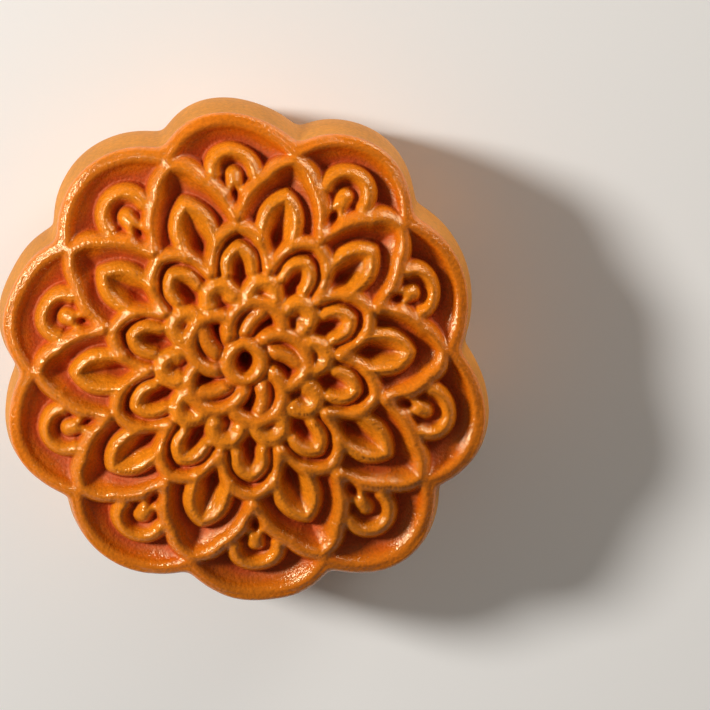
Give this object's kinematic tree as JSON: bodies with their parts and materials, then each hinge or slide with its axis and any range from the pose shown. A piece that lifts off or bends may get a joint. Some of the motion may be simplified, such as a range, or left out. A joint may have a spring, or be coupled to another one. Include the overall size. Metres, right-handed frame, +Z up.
{
  "type": "mooncake",
  "caption": "Whole baked mooncake: a round, lobed pastry with a flower of petals, scallops and a pinwheel pressed into its domed, glossy brown top; plain tan side.",
  "frame": {"origin": "centre of the flat underside", "axes": "+Z up through the pressed top; lobe 0 points along +Y and the lobes follow counter-clockwise"},
  "size_m": [0.0812, 0.085, 0.0333],
  "materials": {
    "crust": "egg-washed baked pastry crust, orange-brown with golden crests and dark red-brown hollows on the glossy top, matte tan on the side"
  },
  "bodies": {
    "root": {"mooncake": "crust"}
  },
  "joints": []
}
